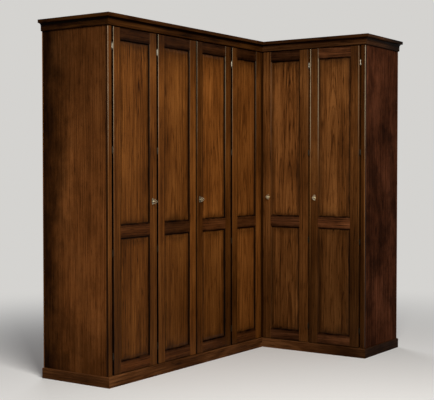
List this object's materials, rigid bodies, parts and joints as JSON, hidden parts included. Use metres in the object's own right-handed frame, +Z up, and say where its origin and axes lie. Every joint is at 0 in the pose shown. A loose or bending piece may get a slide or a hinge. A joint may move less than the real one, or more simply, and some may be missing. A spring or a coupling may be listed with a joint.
{
  "type": "corner wardrobe",
  "caption": "Walnut corner wardrobe: two wings at a right angle, fielded frame-and-panel leaves on barrel hinges, keyed rim locks, hat shelves and hanging rails.",
  "frame": {"origin": "on the floor, under the middle of the whole outline", "axes": "+Z up, +X along the long wing towards the corner, +Y towards the long wing's back wall"},
  "size_m": [2.472, 1.511, 2.4],
  "materials": {
    "walnut_frames": "satin oiled, dark antique toning in the recesses",
    "walnut_panels": "satin oiled, straight grain",
    "walnut_mouldings": "satin oiled, grain along the run",
    "walnut_ends": "satin oiled, dark",
    "carcass_boards": "matt",
    "hinge_brass": "satin, slightly tarnished",
    "lock_iron": "dull, blackened",
    "key_brass": "worn",
    "rail_steel": "brushed"
  },
  "bodies": {
    "carcass": {"left_end_panel": "walnut_ends", "return_end_panel": "walnut_ends", "left_front_post": "walnut_frames", "return_front_post": "walnut_frames", "inner_corner_post": "walnut_frames", "divider_left": "carcass_boards", "divider_middle": "carcass_boards", "divider_return": "carcass_boards", "floor_boards": "carcass_boards", "top_boards": "carcass_boards", "back_panels_long": "carcass_boards", "back_panels_return": "carcass_boards", "plinth_bearers": "carcass_boards", "hat_shelves": "carcass_boards", "shelf_cleats": "carcass_boards", "hanging_rails": "rail_steel", "rail_sockets": "rail_steel", "hinge_carcass_halves": "hinge_brass", "corner_leaf_frame": "walnut_frames", "corner_leaf_panels": "walnut_panels", "plinth_long_front": "walnut_mouldings", "cornice_long_front": "walnut_mouldings", "plinth_return_front": "walnut_mouldings", "cornice_return_front": "walnut_mouldings", "plinth_left_end": "walnut_mouldings", "cornice_left_end": "walnut_mouldings", "plinth_return_end": "walnut_mouldings", "cornice_return_end": "walnut_mouldings"},
    "door_1": {"door_1_frame": "walnut_frames", "door_1_panels": "walnut_panels", "door_1_hinge_halves": "hinge_brass", "door_1_lock": "lock_iron"},
    "door_2": {"door_2_frame": "walnut_frames", "door_2_panels": "walnut_panels", "door_2_hinge_halves": "hinge_brass", "door_2_bolt_guides": "lock_iron"},
    "door_3": {"door_3_frame": "walnut_frames", "door_3_panels": "walnut_panels", "door_3_hinge_halves": "hinge_brass", "door_3_lock": "lock_iron"},
    "door_4": {"door_4_frame": "walnut_frames", "door_4_panels": "walnut_panels", "door_4_hinge_halves": "hinge_brass", "door_4_lock": "lock_iron"},
    "door_5": {"door_5_frame": "walnut_frames", "door_5_panels": "walnut_panels", "door_5_hinge_halves": "hinge_brass", "door_5_lock": "lock_iron"},
    "door_1_key": {"door_1_key": "key_brass"},
    "door_1_lock_bolt": {"door_1_lock_bolt": "lock_iron"},
    "door_3_key": {"door_3_key": "key_brass"},
    "door_3_lock_bolt": {"door_3_lock_bolt": "lock_iron"},
    "door_4_key": {"door_4_key": "key_brass"},
    "door_4_lock_bolt": {"door_4_lock_bolt": "lock_iron"},
    "door_5_key": {"door_5_key": "key_brass"},
    "door_5_lock_bolt": {"door_5_lock_bolt": "lock_iron"},
    "door_2_top_bolt": {"door_2_top_bolt": "lock_iron"},
    "door_2_bottom_bolt": {"door_2_bottom_bolt": "lock_iron"}
  },
  "joints": [
    {"name": "door_1_hinge", "type": "hinge", "parent": "carcass", "child": "door_1", "pos_m": [-1.1555, 0.1805, 1.1975], "axis": [0, 0, 1], "range_deg": [-170, 0]},
    {"name": "door_2_hinge", "type": "hinge", "parent": "carcass", "child": "door_2", "pos_m": [-0.6855, 0.1805, 1.1975], "axis": [0, 0, 1], "range_deg": [-130, 0]},
    {"name": "door_3_hinge", "type": "hinge", "parent": "carcass", "child": "door_3", "pos_m": [0.2255, 0.1805, 1.1975], "axis": [0, 0, 1], "range_deg": [0, 130]},
    {"name": "door_4_hinge", "type": "hinge", "parent": "carcass", "child": "door_4", "pos_m": [0.661, -0.241, 1.1975], "axis": [0, 0, 1], "range_deg": [0, 130]},
    {"name": "door_5_hinge", "type": "hinge", "parent": "carcass", "child": "door_5", "pos_m": [0.661, -0.675, 1.1975], "axis": [0, 0, 1], "range_deg": [0, 170]},
    {"name": "door_1_key_turn", "type": "hinge", "parent": "door_1", "child": "door_1_key", "pos_m": [-0.738, 0.1805, 1.188], "axis": [0, 1, 0], "range_deg": [0, 180]},
    {"name": "door_1_lock_slide", "type": "slide", "parent": "door_1", "child": "door_1_lock_bolt", "axis": [1, 0, 0], "range_m": [0, 0.013]},
    {"name": "door_3_key_turn", "type": "hinge", "parent": "door_3", "child": "door_3_key", "pos_m": [-0.1865, 0.1805, 1.188], "axis": [0, 1, 0], "range_deg": [0, 180]},
    {"name": "door_3_lock_slide", "type": "slide", "parent": "door_3", "child": "door_3_lock_bolt", "axis": [-1, 0, 0], "range_m": [0, 0.013]},
    {"name": "door_4_key_turn", "type": "hinge", "parent": "door_4", "child": "door_4_key", "pos_m": [0.661, 0.119, 1.188], "axis": [1, 0, 0], "range_deg": [0, 180]},
    {"name": "door_4_lock_slide", "type": "slide", "parent": "door_4", "child": "door_4_lock_bolt", "axis": [0, 1, 0], "range_m": [0, 0.013]},
    {"name": "door_5_key_turn", "type": "hinge", "parent": "door_5", "child": "door_5_key", "pos_m": [0.661, -0.2935, 1.188], "axis": [1, 0, 0], "range_deg": [0, 180]},
    {"name": "door_5_lock_slide", "type": "slide", "parent": "door_5", "child": "door_5_lock_bolt", "axis": [0, 1, 0], "range_m": [0, 0.013]},
    {"name": "door_2_top_bolt_slide", "type": "slide", "parent": "door_2", "child": "door_2_top_bolt", "axis": [0, 0, 1], "range_m": [0, 0.018]},
    {"name": "door_2_bottom_bolt_slide", "type": "slide", "parent": "door_2", "child": "door_2_bottom_bolt", "axis": [0, 0, -1], "range_m": [0, 0.018]}
  ],
  "couplings": [
    {"joint": "door_1_key_turn", "follows": "door_1_lock_slide", "rad_per_m": 241.66},
    {"joint": "door_3_key_turn", "follows": "door_3_lock_slide", "rad_per_m": 241.66},
    {"joint": "door_4_key_turn", "follows": "door_4_lock_slide", "rad_per_m": 241.66},
    {"joint": "door_5_key_turn", "follows": "door_5_lock_slide", "rad_per_m": 241.66}
  ]
}
